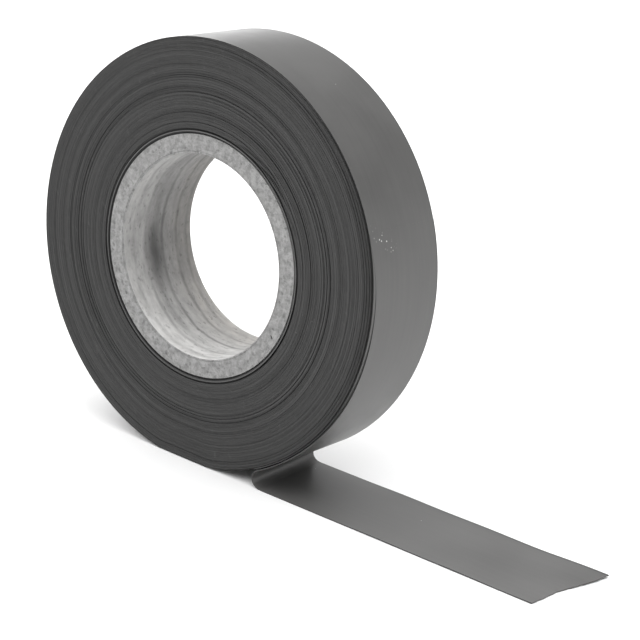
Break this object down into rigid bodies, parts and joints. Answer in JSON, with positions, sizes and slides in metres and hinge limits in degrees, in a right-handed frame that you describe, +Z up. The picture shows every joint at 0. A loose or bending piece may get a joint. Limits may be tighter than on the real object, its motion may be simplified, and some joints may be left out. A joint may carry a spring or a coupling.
{
  "type": "electrical tape roll",
  "caption": "Roll of vinyl electrical tape on a paperboard core, standing on edge with its free end folded back from the roll and lying flat.",
  "frame": {"origin": "centre of the core's bore, half way through its length", "axes": "+Y along the bore axis, away from the near face; +Z up from the flat the roll rests on; +X along the free end, away from the roll"},
  "size_m": [0.1205, 0.019, 0.0795],
  "materials": {
    "tape_film": "semi-matte grey soft vinyl film",
    "tape_adhesive": "tacky dark rubber adhesive coat",
    "core_board": "raw grey laminated paperboard",
    "core_paper": "smooth light grey paper liner"
  },
  "bodies": {
    "roll": {"core_liner": "core_paper", "core_ply_1": "core_board", "core_ply_2": "core_board", "core_ply_3": "core_board", "core_ply_4": "core_board", "core_wrap": "core_paper", "tape_pack": "tape_film"},
    "loose_turn": {"loose_turn_film": "tape_film", "loose_turn_adhesive": "tape_adhesive"},
    "fold_1": {"fold_1_film": "tape_film", "fold_1_adhesive": "tape_adhesive"},
    "fold_2": {"fold_2_film": "tape_film", "fold_2_adhesive": "tape_adhesive"},
    "fold_3": {"fold_3_film": "tape_film", "fold_3_adhesive": "tape_adhesive"},
    "tail_1": {"tail_1_film": "tape_film", "tail_1_adhesive": "tape_adhesive"},
    "tail_2": {"tail_2_film": "tape_film", "tail_2_adhesive": "tape_adhesive"},
    "tail_3": {"tail_3_film": "tape_film", "tail_3_adhesive": "tape_adhesive"},
    "tail_4": {"tail_4_film": "tape_film", "tail_4_adhesive": "tape_adhesive"},
    "tail_5": {"tail_5_film": "tape_film", "tail_5_adhesive": "tape_adhesive"}
  },
  "joints": [
    {"name": "unwind", "type": "hinge", "parent": "roll", "child": "loose_turn", "pos_m": [0, 0, 0], "axis": [0, -1, 0], "continuous": true},
    {"name": "fold_bend_1", "type": "hinge", "parent": "loose_turn", "child": "fold_1", "pos_m": [0.01764, 0, -0.03617], "axis": [0, -1, 0], "range_deg": [-12.7, 2.5]},
    {"name": "fold_bend_2", "type": "hinge", "parent": "fold_1", "child": "fold_2", "pos_m": [0.01672, 0, -0.03733], "axis": [0, -1, 0], "range_deg": [-61, 12]},
    {"name": "fold_bend_3", "type": "hinge", "parent": "fold_2", "child": "fold_3", "pos_m": [0.01705, 0, -0.03878], "axis": [0, -1, 0], "range_deg": [-61, 12]},
    {"name": "tail_bend", "type": "hinge", "parent": "fold_3", "child": "tail_1", "pos_m": [0.01839, 0, -0.03943], "axis": [0, -1, 0], "range_deg": [-33.2, 6.5]},
    {"name": "tail_curl_1", "type": "hinge", "parent": "tail_1", "child": "tail_2", "pos_m": [0.03057, 0, -0.03943], "axis": [0, -1, 0], "range_deg": [-17.1, 3.4]},
    {"name": "tail_curl_2", "type": "hinge", "parent": "tail_2", "child": "tail_3", "pos_m": [0.04275, 0, -0.03943], "axis": [0, -1, 0], "range_deg": [-17.1, 3.4]},
    {"name": "tail_curl_3", "type": "hinge", "parent": "tail_3", "child": "tail_4", "pos_m": [0.05493, 0, -0.03943], "axis": [0, -1, 0], "range_deg": [-17.1, 3.4]},
    {"name": "tail_curl_4", "type": "hinge", "parent": "tail_4", "child": "tail_5", "pos_m": [0.06711, 0, -0.03943], "axis": [0, -1, 0], "range_deg": [-17.1, 3.4]}
  ],
  "couplings": [
    {"joint": "tail_curl_2", "follows": "tail_curl_1", "ratio": 1},
    {"joint": "tail_curl_3", "follows": "tail_curl_1", "ratio": 1},
    {"joint": "tail_curl_4", "follows": "tail_curl_1", "ratio": 1}
  ]
}
